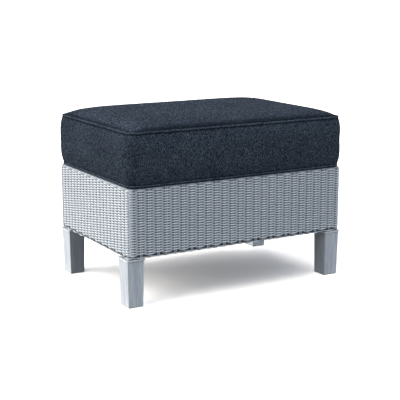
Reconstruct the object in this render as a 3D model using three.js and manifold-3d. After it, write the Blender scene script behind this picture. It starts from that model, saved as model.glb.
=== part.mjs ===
// Outdoor ottoman footstool: a woven box on four tapered legs, with a loose boxed cushion on a slatted deck.
// Millimetres. X runs to the right along the front, Y to the back, Z up. The origin is on the floor under the middle.
import * as THREE from 'three';
import { mergeVertices } from 'three/addons/utils/BufferGeometryUtils.js';
import Module from 'manifold-3d';

const wasm = await Module();
wasm.setup();

// Driving sizes of the whole object
const bodyWidth = 690;
const bodyDepth = 456;
const hemHeight = 134;
const weaveHeight = 190;
const weaveThickness = 8;
const weaveRelief = 2.4;
const longSideColumns = 27;
const shortSideColumns = 21;
const columnShare = 0.6;
const columnEaseShare = 0.12;
const cornerCut = 11;
const clearance = 0.3;

// Legs, their glides and the strand bound round each leg under the weave
const footWidth = 44;
const footDepth = 50.5;
const legTaper = 2.5;
const legInsetX = 25;
const legInsetY = 35;
const legEdgeRadius = 1.5;
const glideThickness = 1.6;
const glideInset = 1;
const glidePegRadius = 4;
const glidePegLength = 12;
const bindingHeight = 6.5;
const bindingThickness = 3.4;

// Frame: posts, rails, gussets and screws
const postSize = 37;
const postWall = 2;
const tenonLength = 60;
const railSize = 22;
const railWall = 2;
const lowerRailSize = 20;
const lowerRailWall = 1.6;
const hemWrap = 2.5;
const gussetReach = 60;
const gussetThickness = 3;
const gussetInset = 6;
const screwHeadRadius = 5;
const screwHeadHeight = 3;
const screwShankRadius = 2.5;
const screwLength = 26;
const screwRise = 38;

// Deck
const weaveLip = 18;
const slatCount = 6;
const slatWidth = 56;
const slatThickness = 8;
const slatEdgeRadius = 2;
const deckMargin = 18;

// Cushion
const cushionInsetX = 4.5;
const cushionOverhangY = 3.5;
const cushionCornerRadius = 26;
const boxingHeight = 139.5;
const crownHeight = 22;
const boxingBulge = 7.5;
const weltRadius = 3.2;
const fabricThickness = 1.2;

// Zip at the back of the cover
const zipEndInset = 42;
const chainHeight = 5;
const chainThickness = 1.6;
const chainProud = 0.5;
const sliderLength = 12;
const sliderHeight = 9.6;
const sliderThickness = 2;
const earLength = 4.4;
const earThickness = 1.4;
const pinRadius = 0.8;
const pullLength = 30;
const pullWidth = 9;
const pullThickness = 1.6;
const pullEyeRadius = 2;
const pullNeck = 7;

// Steps that round shapes are cut into
const roundSteps = 12;
const cornerSteps = 4;
const sideSteps = 3;

// Places worked out from the driving sizes
const halfWidth = bodyWidth / 2;
const halfDepth = bodyDepth / 2;
const bodyTop = hemHeight + weaveHeight;
const frameFaceX = halfWidth - weaveThickness - clearance;
const frameFaceY = halfDepth - weaveThickness - clearance;
const postCentreX = frameFaceX - postSize / 2;
const postCentreY = frameFaceY - postSize / 2;
const postInnerX = frameFaceX - postSize;
const postInnerY = frameFaceY - postSize;
const railTop = bodyTop - weaveThickness - clearance;
const lowerRailBase = hemHeight + hemWrap;
const deckBase = railTop + clearance;
const deckTop = Math.max(deckBase + slatThickness, bodyTop);
const legCentreX = halfWidth - legInsetX;
const legCentreY = halfDepth - legInsetY;
const legTop = hemHeight - clearance;
const legBase = glideThickness + clearance;

const finish = (color, roughness, metalness = 0) => new THREE.MeshStandardMaterial({ color, roughness, metalness });
const legFinish = finish(0x8f9aa5, 0.7);
const resinFinish = finish(0x9aa3ad, 0.55);
const frameFinish = finish(0x6c7074, 0.5, 0.6);
const steelFinish = finish(0xb8bcc0, 0.3, 1);
const glideFinish = finish(0x2a2d31, 0.6);
const fabricFinish = finish(0x2b3442, 0.95);
const foamFinish = finish(0xe8e2cf, 1);
const zipFinish = finish(0x1d232d, 0.5);

const ottoman = new THREE.Group();
ottoman.name = 'outdoor_ottoman';

function addPiece(name, geometry, material, place = [0, 0, 0]) {
  const mesh = new THREE.Mesh(geometry, material);
  mesh.name = name;
  mesh.position.set(...place);
  ottoman.add(mesh);
  return mesh;
}

// The four corners, with the side of the middle that each lies on
const corners = [
  { name: 'front_left', x: -1, y: -1 },
  { name: 'front_right', x: 1, y: -1 },
  { name: 'rear_left', x: -1, y: 1 },
  { name: 'rear_right', x: 1, y: 1 },
];

// Solids for cuts and joins

function toSolid(geometry) {
  const bare = geometry.clone();
  bare.deleteAttribute('normal');
  bare.deleteAttribute('uv');
  const merged = mergeVertices(bare);
  const vertProperties = new Float32Array(merged.attributes.position.array);
  const triVerts = new Uint32Array(merged.index.array);
  return new wasm.Manifold(new wasm.Mesh({ numProp: 3, vertProperties, triVerts }));
}

function toGeometry(solid) {
  const mesh = solid.getMesh();
  const geometry = new THREE.BufferGeometry();
  geometry.setAttribute('position', new THREE.BufferAttribute(new Float32Array(mesh.vertProperties), 3));
  geometry.setIndex(new THREE.BufferAttribute(new Uint32Array(mesh.triVerts), 1));
  return geometry;
}

function block(sizeX, sizeY, sizeZ, x = 0, y = 0, z = 0) {
  return new THREE.BoxGeometry(sizeX, sizeY, sizeZ).translate(x, y, z);
}

function rod(radius, length) {
  return new THREE.CylinderGeometry(radius, radius, length, roundSteps);
}

// A square tube that runs along Z from zero
function squareTube(size, wall, length) {
  const half = size / 2;
  const inner = half - wall;
  const outline = new THREE.Shape([
    new THREE.Vector2(-half, -half),
    new THREE.Vector2(half, -half),
    new THREE.Vector2(half, half),
    new THREE.Vector2(-half, half),
  ]);
  outline.holes.push(new THREE.Path([
    new THREE.Vector2(-inner, -inner),
    new THREE.Vector2(-inner, inner),
    new THREE.Vector2(inner, inner),
    new THREE.Vector2(inner, -inner),
  ]));
  return new THREE.ExtrudeGeometry(outline, { depth: length, bevelEnabled: false });
}

// A level loop round a rounded rectangle, counter-clockwise seen from above
function roundedLoop(halfX, halfY, radius, z) {
  const points = [];
  const cornerCentres = [
    [halfX - radius, halfY - radius],
    [radius - halfX, halfY - radius],
    [radius - halfX, radius - halfY],
    [halfX - radius, radius - halfY],
  ];
  cornerCentres.forEach(([centreX, centreY], quarter) => {
    for (let step = 0; step <= cornerSteps; step += 1) {
      const angle = (quarter + step / cornerSteps) * Math.PI / 2;
      points.push(new THREE.Vector3(centreX + radius * Math.cos(angle), centreY + radius * Math.sin(angle), z));
    }
    const [nextX, nextY] = cornerCentres[(quarter + 1) % cornerCentres.length];
    const angle = (quarter + 1) * Math.PI / 2;
    const from = points[points.length - 1].clone();
    const to = new THREE.Vector3(nextX + radius * Math.cos(angle), nextY + radius * Math.sin(angle), z);
    for (let step = 1; step < sideSteps; step += 1) {
      points.push(from.clone().lerp(to, step / sideSteps));
    }
  });
  return points;
}

// Joins loops of equal length into one skin, with flat ends, or with the last loop joined to the first
function loft(loops, ringShaped = false) {
  const count = loops[0].length;
  const positions = loops.flat().flatMap((point) => [point.x, point.y, point.z]);
  const faces = [];
  const spans = ringShaped ? loops.length : loops.length - 1;
  for (let level = 0; level < spans; level += 1) {
    const low = level * count;
    const high = ((level + 1) % loops.length) * count;
    for (let k = 0; k < count; k += 1) {
      const next = (k + 1) % count;
      faces.push(low + k, low + next, high + next, low + k, high + next, high + k);
    }
  }
  if (!ringShaped) {
    const top = (loops.length - 1) * count;
    for (let k = 0; k < count / 2 - 1; k += 1) {
      const [a, b, c, d] = [k, k + 1, count - 1 - k, count - 2 - k];
      faces.push(a, c, b, b, c, d);
      faces.push(top + a, top + b, top + c, top + b, top + d, top + c);
    }
  }
  const geometry = new THREE.BufferGeometry();
  geometry.setAttribute('position', new THREE.Float32BufferAttribute(positions, 3));
  geometry.setIndex(faces);
  return geometry;
}

// Legs: a tapered foot with a tenon that rises into the corner post
function legGeometry(corner) {
  const foot = loft([
    roundedLoop(footWidth / 2, footDepth / 2, legEdgeRadius, legBase),
    roundedLoop(footWidth / 2 + legTaper, footDepth / 2 + legTaper, legEdgeRadius, legTop),
  ]);
  const tenonSize = postSize - 2 * postWall - 2 * clearance;
  const tenonX = corner.x * (postCentreX - legCentreX);
  const tenonY = corner.y * (postCentreY - legCentreY);
  const tenonRoot = legTop / 2;
  const tenonMiddle = (legTop + tenonLength + tenonRoot) / 2;
  const tenon = block(tenonSize, tenonSize, legTop + tenonLength - tenonRoot, tenonX, tenonY, tenonMiddle);
  const screwHole = rod(screwShankRadius + clearance, tenonSize).rotateZ(Math.PI / 2);
  const holeX = tenonX - corner.x * (tenonSize / 2 + postWall + clearance + tenonSize / 2 - screwLength - clearance);
  screwHole.translate(holeX, tenonY, hemHeight + screwRise);
  const pegHole = rod(glidePegRadius + clearance, glidePegLength).rotateX(Math.PI / 2);
  pegHole.translate(0, 0, legBase + (glidePegLength - legBase) / 2);
  const solid = toSolid(foot).add(toSolid(tenon)).subtract(toSolid(screwHole)).subtract(toSolid(pegHole));
  return toGeometry(solid);
}

function glideGeometry() {
  const radius = legEdgeRadius;
  const pad = loft([
    roundedLoop(footWidth / 2 - glideInset, footDepth / 2 - glideInset, radius, 0),
    roundedLoop(footWidth / 2 - glideInset, footDepth / 2 - glideInset, radius, glideThickness),
  ]);
  const pegTop = glidePegLength - clearance;
  const peg = rod(glidePegRadius, pegTop - glideThickness / 2).rotateX(Math.PI / 2);
  peg.translate(0, 0, (pegTop + glideThickness / 2) / 2);
  return toGeometry(toSolid(pad).add(toSolid(peg)));
}

function bindingGeometry() {
  const halfX = footWidth / 2 + legTaper + clearance;
  const halfY = footDepth / 2 + legTaper + clearance;
  const outerRadius = legEdgeRadius + bindingThickness;
  const low = legTop - bindingHeight;
  return loft([
    roundedLoop(halfX + bindingThickness, halfY + bindingThickness, outerRadius, low),
    roundedLoop(halfX + bindingThickness, halfY + bindingThickness, outerRadius, legTop),
    roundedLoop(halfX, halfY, legEdgeRadius, legTop),
    roundedLoop(halfX, halfY, legEdgeRadius, low),
  ], true);
}

// Posts: square tube with a hole for the leg screw in the wall that faces the middle
function postGeometry(corner) {
  const tube = squareTube(postSize, postWall, railTop - hemHeight);
  const hole = rod(screwShankRadius + clearance, postSize / 2).rotateZ(Math.PI / 2);
  hole.translate(-corner.x * postSize / 2, 0, screwRise);
  return toGeometry(toSolid(tube).subtract(toSolid(hole)));
}

// A pan head screw along Z, its head under zero and its shank above
function screwGeometry() {
  const headEase = screwHeadHeight / 3;
  return new THREE.LatheGeometry([
    new THREE.Vector2(0, -screwHeadHeight),
    new THREE.Vector2(screwHeadRadius - headEase, -screwHeadHeight),
    new THREE.Vector2(screwHeadRadius, -screwHeadHeight + headEase),
    new THREE.Vector2(screwHeadRadius, 0),
    new THREE.Vector2(screwShankRadius, 0),
    new THREE.Vector2(screwShankRadius, screwLength - screwShankRadius),
    new THREE.Vector2(0, screwLength),
  ], roundSteps);
}

// A flat plate under the two top rails, notched round the post
function gussetGeometry(corner) {
  const edgeX = frameFaceX - gussetInset;
  const edgeY = frameFaceY - gussetInset;
  const notchX = postInnerX - clearance;
  const notchY = postInnerY - clearance;
  const outline = [
    [notchX, edgeY],
    [notchX, notchY],
    [edgeX, notchY],
    [edgeX, postInnerY - gussetReach],
    [edgeX - railSize, postInnerY - gussetReach],
    [postInnerX - gussetReach, edgeY - railSize],
    [postInnerX - gussetReach, edgeY],
  ].map(([x, y]) => new THREE.Vector2(corner.x * x, corner.y * y));
  return new THREE.ExtrudeGeometry(new THREE.Shape(outline), { depth: gussetThickness, bevelEnabled: false });
}

for (const corner of corners) {
  const legPlace = [corner.x * legCentreX, corner.y * legCentreY, 0];
  const postX = corner.x * postCentreX;
  const postY = corner.y * postCentreY;
  addPiece(`leg_${corner.name}`, legGeometry(corner), legFinish, legPlace);
  addPiece(`glide_${corner.name}`, glideGeometry(), glideFinish, legPlace);
  addPiece(`leg_binding_${corner.name}`, bindingGeometry(), resinFinish, legPlace);
  addPiece(`corner_post_${corner.name}`, postGeometry(corner), frameFinish, [postX, postY, hemHeight]);
  const screwX = corner.x * (postInnerX - clearance);
  const screw = addPiece(`leg_screw_${corner.name}`, screwGeometry(), steelFinish, [screwX, postY, hemHeight + screwRise]);
  screw.geometry.rotateX(Math.PI / 2);
  screw.rotation.y = corner.x * Math.PI / 2;
  const gussetZ = railTop - railSize - clearance - gussetThickness;
  addPiece(`corner_gusset_${corner.name}`, gussetGeometry(corner), frameFinish, [0, 0, gussetZ]);
}

// Rails between the posts: long ones along X at the front and rear, short ones along Y at the sides
const railRows = [
  { name: 'top_rail', size: railSize, wall: railWall, base: railTop - railSize },
  { name: 'bottom_rail', size: lowerRailSize, wall: lowerRailWall, base: lowerRailBase },
];
for (const row of railRows) {
  const middleZ = row.base + row.size / 2;
  const longHalf = postInnerX - clearance;
  const shortHalf = postInnerY - clearance;
  for (const [side, sign] of [['front', -1], ['rear', 1]]) {
    const tube = squareTube(row.size, row.wall, 2 * longHalf).rotateY(Math.PI / 2);
    addPiece(`${row.name}_${side}`, tube, frameFinish, [-longHalf, sign * (frameFaceY - row.size / 2), middleZ]);
  }
  for (const [side, sign] of [['left', -1], ['right', 1]]) {
    const tube = squareTube(row.size, row.wall, 2 * shortHalf).rotateX(-Math.PI / 2);
    addPiece(`${row.name}_${side}`, tube, frameFinish, [sign * (frameFaceX - row.size / 2), -shortHalf, middleZ]);
  }
}

// Woven sides: a slab with a lip over the top rail, from the middle of one cut corner to the middle of the next.
// Its outer face stands forward in upright columns, where the strands pass over the stakes.
const sideProfile = [
  { inset: 0, z: hemHeight },
  { inset: weaveThickness, z: hemHeight },
  { inset: weaveThickness, z: bodyTop - weaveThickness },
  { inset: weaveLip, z: bodyTop - weaveThickness },
  { inset: weaveLip, z: bodyTop },
  { inset: 0, z: bodyTop },
];

// Places along a side: how far along, how deep the relief is, and how far back the cut corner has taken the face
function sideStations(runHalf, columns) {
  const joint = clearance / Math.SQRT2;
  const pitch = 2 * runHalf / columns;
  const crest = pitch * columnShare / 2;
  const foot = crest + pitch * columnEaseShare;
  const stations = [];
  for (let column = 0; column < columns; column += 1) {
    const middle = (column - (columns - 1) / 2) * pitch;
    for (const [shift, depth] of [[-foot, weaveRelief], [-crest, 0], [crest, 0], [foot, weaveRelief]]) {
      stations.push({ along: middle + shift, depth, out: 0 });
    }
  }
  const fold = runHalf - cornerCut;
  const between = stations.filter(({ along }) => Math.abs(along) < fold - clearance);
  const corner = { along: runHalf - joint - cornerCut / 2, depth: 0, out: cornerCut / 2 };
  const bend = { along: fold, depth: 0, out: 0 };
  const mirrored = ({ along, depth, out }) => ({ along: -along, depth, out });
  return [mirrored(corner), mirrored(bend), ...between, bend, corner];
}

function wovenSideGeometry(runHalf, faceHalf, columns) {
  const stations = sideStations(runHalf, columns);
  const end = stations[stations.length - 1];
  const sections = stations.map(({ along, depth, out }) => sideProfile.map(({ inset, z }) => {
    if (inset === 0) {
      return new THREE.Vector3(along, out + depth - faceHalf, z);
    }
    const innerEnd = end.along + end.out - inset;
    return new THREE.Vector3(along * innerEnd / end.along, inset - faceHalf, z);
  }));
  const count = sideProfile.length;
  const positions = sections.flat().flatMap((point) => [point.x, point.y, point.z]);
  const faces = [];
  for (let section = 0; section < sections.length - 1; section += 1) {
    for (let k = 0; k < count; k += 1) {
      const next = (k + 1) % count;
      const here = section * count;
      const there = here + count;
      faces.push(here + k, here + next, there + next, here + k, there + next, there + k);
    }
  }
  const last = (sections.length - 1) * count;
  const outline = sideProfile.map(({ inset, z }) => new THREE.Vector2(inset, z));
  for (const [a, b, c] of THREE.ShapeUtils.triangulateShape(outline, [])) {
    faces.push(a, c, b, last + a, last + b, last + c);
  }
  const geometry = new THREE.BufferGeometry();
  geometry.setAttribute('position', new THREE.Float32BufferAttribute(positions, 3));
  geometry.setIndex(faces);
  return geometry;
}

const longSide = () => wovenSideGeometry(halfWidth, halfDepth, longSideColumns);
const shortSide = () => wovenSideGeometry(halfDepth, halfWidth, shortSideColumns);
addPiece('woven_side_front', longSide(), resinFinish);
addPiece('woven_side_right', shortSide(), resinFinish).rotation.z = Math.PI / 2;
addPiece('woven_side_rear', longSide(), resinFinish).rotation.z = Math.PI;
addPiece('woven_side_left', shortSide(), resinFinish).rotation.z = -Math.PI / 2;

// Deck slats, front to rear, resting on the top rails between the woven lips
function slatGeometry() {
  const halfX = slatWidth / 2;
  const halfY = halfDepth - weaveLip - clearance;
  return loft([deckBase, deckBase + slatThickness].map((z) => roundedLoop(halfX, halfY, slatEdgeRadius, z)));
}
const slatSpan = 2 * (frameFaceX - railSize - deckMargin) - slatWidth;
for (let index = 0; index < slatCount; index += 1) {
  const x = (index / (slatCount - 1) - 1 / 2) * slatSpan;
  addPiece(`deck_slat_${index + 1}`, slatGeometry(), frameFinish, [x, 0, 0]);
}

// Cushion. Every level is a rounded rectangle, inset from the welt's centre line; a bulge is a negative inset.
const weltHalfX = halfWidth - cushionInsetX - weltRadius;
const weltHalfY = halfDepth + cushionOverhangY - weltRadius;
const coverBase = deckTop + clearance;
const weltSeat = weltRadius + clearance;
const lowerWeltZ = coverBase + fabricThickness + weltSeat - clearance;
const upperWeltZ = lowerWeltZ + boxingHeight;
const boxingLow = lowerWeltZ + weltSeat;
const boxingHigh = upperWeltZ - weltSeat;
const cornerEaseShare = 0.4;

function cushionLoop({ inset, z }) {
  const radius = cushionCornerRadius + inset * (inset < 0 ? -1 : cornerEaseShare);
  return roundedLoop(weltHalfX - inset, weltHalfY - inset, radius, z);
}

// How far the boxing swells at shares of its height, full over the flat band that holds the zip
const swellShares = [
  { heightShare: 0, swellShare: 0 },
  { heightShare: 0.12, swellShare: 0.55 },
  { heightShare: 0.28, swellShare: 0.9 },
  { heightShare: 0.44, swellShare: 1 },
  { heightShare: 0.56, swellShare: 1 },
  { heightShare: 0.72, swellShare: 0.9 },
  { heightShare: 0.88, swellShare: 0.55 },
  { heightShare: 1, swellShare: 0 },
];
const boxingLevels = (depth) => swellShares.map(({ heightShare, swellShare }) => ({
  inset: depth - boxingBulge * swellShare,
  z: boxingLow + (boxingHigh - boxingLow) * heightShare,
}));

// How high the crown stands at shares of the half depth in from the welt
const crownShares = [
  { inShare: 0.035, riseShare: 0.22 },
  { inShare: 0.08, riseShare: 0.5 },
  { inShare: 0.16, riseShare: 0.74 },
  { inShare: 0.3, riseShare: 0.92 },
  { inShare: 0.52, riseShare: 0.985 },
  { inShare: 0.8, riseShare: 1 },
];
const crownBase = upperWeltZ + fabricThickness;
const crownLevels = (drop) => [
  { inset: weltSeat, z: crownBase - drop },
  ...crownShares.map(({ inShare, riseShare }) => ({
    inset: weltSeat + (weltHalfY - weltSeat) * inShare,
    z: crownBase - drop + (crownHeight - fabricThickness) * riseShare,
  })),
];

const foamDepth = fabricThickness + clearance;
const foamLevels = [
  { inset: 3 * weltRadius, z: coverBase + foamDepth },
  { inset: weltSeat + foamDepth, z: lowerWeltZ + weltRadius / 2 },
  ...boxingLevels(foamDepth),
  { inset: weltSeat + foamDepth, z: upperWeltZ - weltRadius / 2 },
  ...crownLevels(foamDepth).slice(1),
];
const panelInset = Math.sqrt(weltSeat ** 2 - (weltSeat - clearance) ** 2) + clearance;

const boxingRing = toSolid(loft([
  ...boxingLevels(0).map(cushionLoop),
  ...boxingLevels(fabricThickness).reverse().map(cushionLoop),
], true));

// The back of the boxing is a strip of its own, in two halves with the zip between
const zipHeight = (boxingLow + boxingHigh) / 2;
const slotHeight = chainHeight + 2 * clearance;
const stripHalf = weltHalfX - zipEndInset;
const rearCutDepth = 2 * (boxingBulge + cushionCornerRadius);
const overrun = weltRadius;
const rearCut = (halfLength, low, high) => toSolid(
  block(2 * halfLength, rearCutDepth, high - low, 0, weltHalfY, (low + high) / 2),
);
const cutLow = boxingLow - overrun;
const cutHigh = boxingHigh + overrun;
const boxingBody = boxingRing.subtract(rearCut(stripHalf + clearance, cutLow, cutHigh));
const lowerStrip = boxingRing.intersect(rearCut(stripHalf, cutLow, zipHeight - slotHeight / 2));
const upperStrip = boxingRing.intersect(rearCut(stripHalf, zipHeight + slotHeight / 2, cutHigh));

// A welt: a round cord sewn along the edge
function weltGeometry(z) {
  const weltSides = 8;
  const loops = [];
  for (let step = 0; step < weltSides; step += 1) {
    const angle = -step / weltSides * 2 * Math.PI;
    const inset = weltRadius * Math.cos(angle);
    const radius = cushionCornerRadius - inset;
    const level = z - weltRadius * Math.sin(angle);
    loops.push(roundedLoop(weltHalfX - inset, weltHalfY - inset, radius, level));
  }
  return loft(loops.reverse(), true);
}

const topPanelLevels = [...crownLevels(fabricThickness).reverse(), ...crownLevels(0)];
const bottomPanelLevels = [{ inset: panelInset, z: coverBase }, { inset: panelInset, z: coverBase + fabricThickness }];
addPiece('cushion_foam', loft(foamLevels.map(cushionLoop)), foamFinish);
addPiece('cushion_top_panel', loft(topPanelLevels.map(cushionLoop)), fabricFinish);
addPiece('cushion_bottom_panel', loft(bottomPanelLevels.map(cushionLoop)), fabricFinish);
addPiece('cushion_boxing', toGeometry(boxingBody), fabricFinish);
addPiece('zip_strip_lower', toGeometry(lowerStrip), fabricFinish);
addPiece('zip_strip_upper', toGeometry(upperStrip), fabricFinish);
addPiece('welt_bottom', weltGeometry(lowerWeltZ), fabricFinish);
addPiece('welt_top', weltGeometry(upperWeltZ), fabricFinish);

// Zip chain, slider and pull. The slider stands at the closed end, towards -X.
const rearFace = weltHalfY + boxingBulge;
const chainFace = rearFace + chainProud;
const sliderTravelMargin = sliderLength;
const sliderX = -(stripHalf - sliderTravelMargin);
const sliderBack = chainFace + clearance;
const sliderFace = sliderBack + sliderThickness;
const earReach = pullEyeRadius + clearance + pinRadius + clearance;
const pinY = sliderFace + pullEyeRadius + clearance;
addPiece(
  'zip_chain',
  block(2 * stripHalf, chainThickness, chainHeight),
  zipFinish,
  [0, chainFace - chainThickness / 2, zipHeight],
);

function sliderGeometry() {
  const plate = block(sliderLength, sliderThickness, sliderHeight, 0, sliderThickness / 2, 0);
  const earMiddle = sliderHeight / 2 - earThickness / 2;
  const earDepth = sliderThickness / 2 + earReach;
  const pieces = [-1, 1].map((side) => block(
    earLength, earDepth, earThickness, 0, sliderThickness / 2 + earDepth / 2, side * earMiddle,
  ));
  const pin = rod(pinRadius, 2 * earMiddle).rotateX(Math.PI / 2).translate(0, pinY - sliderBack, 0);
  return toGeometry([...pieces, pin].reduce((solid, piece) => solid.add(toSolid(piece)), toSolid(plate)));
}

// The pull hangs on the slider's pin and lies along -X at rest
function pullGeometry() {
  const eyeHeight = sliderHeight - 2 * earThickness - 2 * clearance;
  const eye = rod(pullEyeRadius, eyeHeight).rotateX(Math.PI / 2);
  const neck = block(pullNeck, pullThickness, eyeHeight, -pullNeck / 2, 0, 0);
  const tabLength = pullLength - pullNeck;
  const tabOverlap = pullThickness;
  const tabMiddle = -(pullNeck + pullLength - tabOverlap) / 2;
  const tab = block(tabLength + tabOverlap, pullThickness, pullWidth, tabMiddle, 0, 0);
  const hole = rod(pinRadius + clearance, 2 * eyeHeight).rotateX(Math.PI / 2);
  return toGeometry(toSolid(eye).add(toSolid(neck)).add(toSolid(tab)).subtract(toSolid(hole)));
}

addPiece('zip_slider', sliderGeometry(), zipFinish, [sliderX, sliderBack, zipHeight]);
addPiece('zip_pull', pullGeometry(), zipFinish, [sliderX, pinY, zipHeight]);

export default ottoman;
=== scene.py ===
# Outdoor ottoman footstool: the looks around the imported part, in metres and in the part's own frame
import math

import bmesh
import bpy
from mathutils import Matrix, Vector, noise
from mathutils.bvhtree import BVHTree


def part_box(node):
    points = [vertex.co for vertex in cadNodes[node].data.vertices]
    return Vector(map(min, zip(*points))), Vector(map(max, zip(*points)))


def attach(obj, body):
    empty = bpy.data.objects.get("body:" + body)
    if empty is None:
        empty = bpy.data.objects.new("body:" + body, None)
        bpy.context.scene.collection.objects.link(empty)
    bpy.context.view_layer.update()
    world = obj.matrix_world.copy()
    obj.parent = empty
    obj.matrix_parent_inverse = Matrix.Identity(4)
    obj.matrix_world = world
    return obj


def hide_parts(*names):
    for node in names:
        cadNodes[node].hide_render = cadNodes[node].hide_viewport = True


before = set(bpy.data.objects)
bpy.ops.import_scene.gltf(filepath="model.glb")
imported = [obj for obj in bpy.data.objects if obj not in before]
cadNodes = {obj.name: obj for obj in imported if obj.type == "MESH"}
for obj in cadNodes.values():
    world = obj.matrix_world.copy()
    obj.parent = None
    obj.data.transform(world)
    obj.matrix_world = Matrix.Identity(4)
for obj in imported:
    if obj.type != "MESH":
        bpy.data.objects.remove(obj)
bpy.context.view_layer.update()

scene = bpy.context.scene
print("frame loaded:", len(cadNodes), "nodes")


# Camera at the photograph's place

camera = {
    "place": (-1.5079, -2.6151, 0.8646),
    "turn": (77.924, 0.0, -29.996),
    "lens": 94.545,
    "sensor": 36.0,
    "reach": 200,
}


def inRadians(angles):
    return [math.radians(angle) for angle in angles]


def addCamera():
    data = bpy.data.cameras.new("camera")
    data.lens = camera["lens"]
    data.sensor_width = camera["sensor"]
    data.clip_end = camera["reach"]
    item = bpy.data.objects.new("camera", data)
    item.location = camera["place"]
    item.rotation_euler = inRadians(camera["turn"])
    scene.collection.objects.link(item)
    scene.camera = item


addCamera()


# Node helpers

def newMaterial(name):
    material = bpy.data.materials.new(name)
    material.use_nodes = True
    tree = material.node_tree
    shader = tree.nodes["Principled BSDF"]
    return material, tree, shader


def addNode(tree, kind, values=None, **settings):
    item = tree.nodes.new(kind)
    for key, value in settings.items():
        setattr(item, key, value)
    for key, value in (values or {}).items():
        item.inputs[key].default_value = value
    return item


def link(tree, source, target):
    tree.links.new(source, target)


def objectPattern(tree, scale=(1, 1, 1), location=(0, 0, 0)):
    place = addNode(tree, "ShaderNodeTexCoord")
    mapping = addNode(tree, "ShaderNodeMapping", {"Scale": scale, "Location": location})
    link(tree, place.outputs["Object"], mapping.inputs["Vector"])
    return mapping.outputs["Vector"]


def noiseAt(tree, vector, scale=1.0, detail=3, roughness=0.5):
    settings = {"Scale": scale, "Detail": detail, "Roughness": roughness}
    item = addNode(tree, "ShaderNodeTexNoise", settings)
    link(tree, vector, item.inputs["Vector"])
    return item.outputs["Fac"]


def rampFrom(tree, factor, positions, colours):
    item = addNode(tree, "ShaderNodeValToRGB")
    elements = item.color_ramp.elements
    while len(elements) < len(positions):
        elements.new(0.5)
    for element, position, colour in zip(elements, positions, colours):
        element.position = position
        element.color = (*colour, 1)
    link(tree, factor, item.inputs["Fac"])
    return item.outputs["Color"]


def fillSocket(tree, socket, value):
    if isinstance(value, bpy.types.NodeSocket):
        link(tree, value, socket)
    elif isinstance(value, tuple):
        socket.default_value = (*value, 1)
    else:
        socket.default_value = value


def multiplyColours(tree, factor, first, second):
    item = addNode(tree, "ShaderNodeMix", data_type="RGBA", blend_type="MULTIPLY")
    # a colour mix keeps its two colours at 6 and 7
    for index, value in ((0, factor), (6, first), (7, second)):
        fillSocket(tree, item.inputs[index], value)
    return item.outputs[2]


def mathNode(tree, operation, first, second=0):
    item = addNode(tree, "ShaderNodeMath", operation=operation)
    for socket, value in zip(item.inputs, (first, second)):
        fillSocket(tree, socket, value)
    return item.outputs[0]


def weightedSum(tree, factors, shares):
    parts = [mathNode(tree, "MULTIPLY", factor, share) for factor, share in zip(factors, shares)]
    total = parts[0]
    for part in parts[1:]:
        total = mathNode(tree, "ADD", total, part)
    return total


def riseOver(tree, value, span):
    # 0 to 1 while the value's size goes from the low end of the span to its high end
    item = addNode(tree, "ShaderNodeMapRange", {"From Min": span[0], "From Max": span[1]})
    link(tree, mathNode(tree, "ABSOLUTE", value), item.inputs["Value"])
    return item.outputs[0]


def scaled(colour, factor):
    return tuple(factor * value for value in colour)


def finishShader(tree, shader, colour, height, finish):
    link(tree, colour, shader.inputs["Base Color"])
    shader.inputs["Roughness"].default_value = finish["roughness"]
    strength, distance = finish["bump"]
    item = addNode(tree, "ShaderNodeBump", {"Strength": strength, "Distance": distance})
    link(tree, height, item.inputs["Height"])
    link(tree, item.outputs["Normal"], shader.inputs["Normal"])


# Materials

noTint = (1, 1, 1)
weaveFinish = {
    "dark": (0.69, 0.742, 0.80),
    "light": (0.885, 0.932, 0.975),
    "toneStops": (0.3, 0.7),
    # painted shade: strands and stakes are darkened by how deep they lie in the weave, grey at the
    # crossings and near black in the gaps
    "crossingShade": (0.585, 0.62, 0.66),
    "creviceShade": (0.014, 0.019, 0.027),
    "depthStops": (0.14, 0.27, 0.36, 0.50),
    # painted shade: each strand's upper and lower rims are darkened as the shade between rows
    "rim": (0.10, 0.115, 0.14),
    "rimStops": (0.52, 1.0),
    "streakScale": (30, 30, 280),
    "speckScale": 900,
    "shares": (0.75, 0.25),
    "roughness": 0.65,
    "bump": (0.25, 0.0002),
}
legFinish = {
    "dark": (0.33, 0.38, 0.44),
    "middle": (0.47, 0.515, 0.57),
    "light": (0.60, 0.635, 0.68),
    "toneStops": (0.34, 0.5, 0.66),
    "broadScale": (90, 90, 7),
    "fineScale": (700, 700, 24),
    "shares": (0.55, 0.45),
    "roughness": 0.62,
    "bump": (0.35, 0.0003),
}
frameFinish = {
    "colour": (0.15, 0.16, 0.175),
    "darker": 0.85,
    "lighter": 1.1,
    "toneStops": (0.35, 0.65),
    "patchScale": 14,
    "gritScale": 1500,
    "roughness": 0.45,
    "bump": (0.3, 0.0002),
}
glideFinish = {
    "dark": (0.03, 0.033, 0.037),
    "light": (0.07, 0.074, 0.08),
    "toneStops": (0.35, 0.7),
    "scuffScale": 220,
    "roughness": 0.6,
    "bump": (0.3, 0.0003),
}
steelFinish = {
    "dark": (0.48, 0.49, 0.50),
    "light": (0.68, 0.69, 0.70),
    "toneStops": (0.3, 0.7),
    "brushScale": (60, 900, 900),
    "roughness": 0.32,
    "bump": (0.15, 0.0001),
}
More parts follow.
